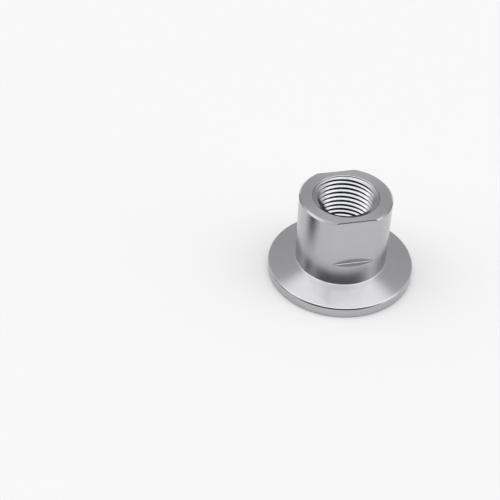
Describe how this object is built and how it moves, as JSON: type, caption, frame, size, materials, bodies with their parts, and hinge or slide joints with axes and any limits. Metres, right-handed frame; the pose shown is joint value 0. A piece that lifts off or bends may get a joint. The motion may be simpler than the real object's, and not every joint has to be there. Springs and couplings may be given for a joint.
{
  "type": "kf threaded adapter",
  "caption": "Turned stainless vacuum adapter: a clamp flange with a centring recess on one end, a hub with wrench flats and a female taper pipe thread on the other.",
  "frame": {"origin": "centre of the flange's sealing face, which is the lowest face", "axes": "+Z along the axis from the sealing face to the threaded mouth; the wrench flats face -Y and +Y"},
  "size_m": [0.04, 0.04, 0.0254],
  "materials": {
    "stainless_steel": "turned stainless steel with fine tool rings"
  },
  "bodies": {
    "root": {"adapter_body": "stainless_steel"}
  },
  "joints": []
}
